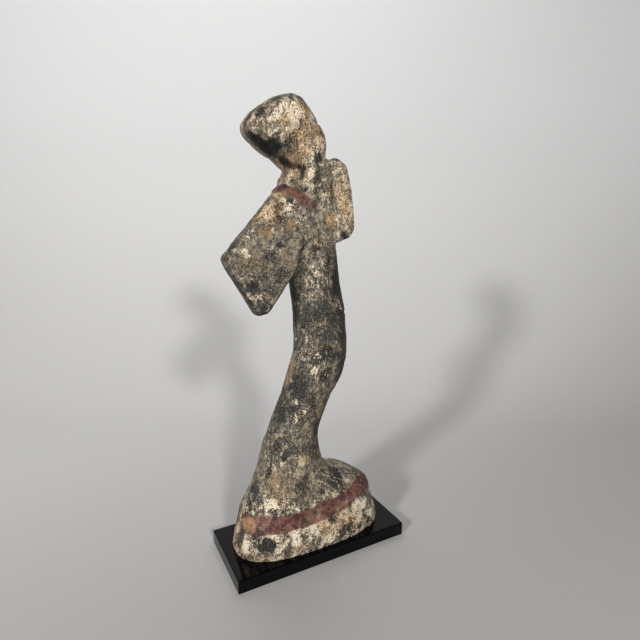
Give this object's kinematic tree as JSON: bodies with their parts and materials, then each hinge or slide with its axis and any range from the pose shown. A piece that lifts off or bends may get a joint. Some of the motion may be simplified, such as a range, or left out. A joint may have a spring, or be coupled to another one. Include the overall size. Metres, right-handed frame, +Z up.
{
  "type": "tomb figure of a dancer on a plinth",
  "caption": "Moulded earthenware tomb figure of a dancer, body swayed and head tilted, with flat hanging sleeves and a trumpet hem, standing on a thin polished black plinth.",
  "frame": {"origin": "centre of the plinth's underside", "axes": "+X along the plinth's length, away from the side that the head tilts to; +Y to the side that the face looks to, away from the hair tail; +Z up"},
  "size_m": [0.165, 0.074, 0.3927],
  "materials": {
    "earthenware": "matt grey clay with worn cream slip, ochre earth and red painted bands",
    "plinth_acrylic": "polished black"
  },
  "bodies": {
    "root": {"dancer": "earthenware", "plinth": "plinth_acrylic"}
  },
  "joints": []
}
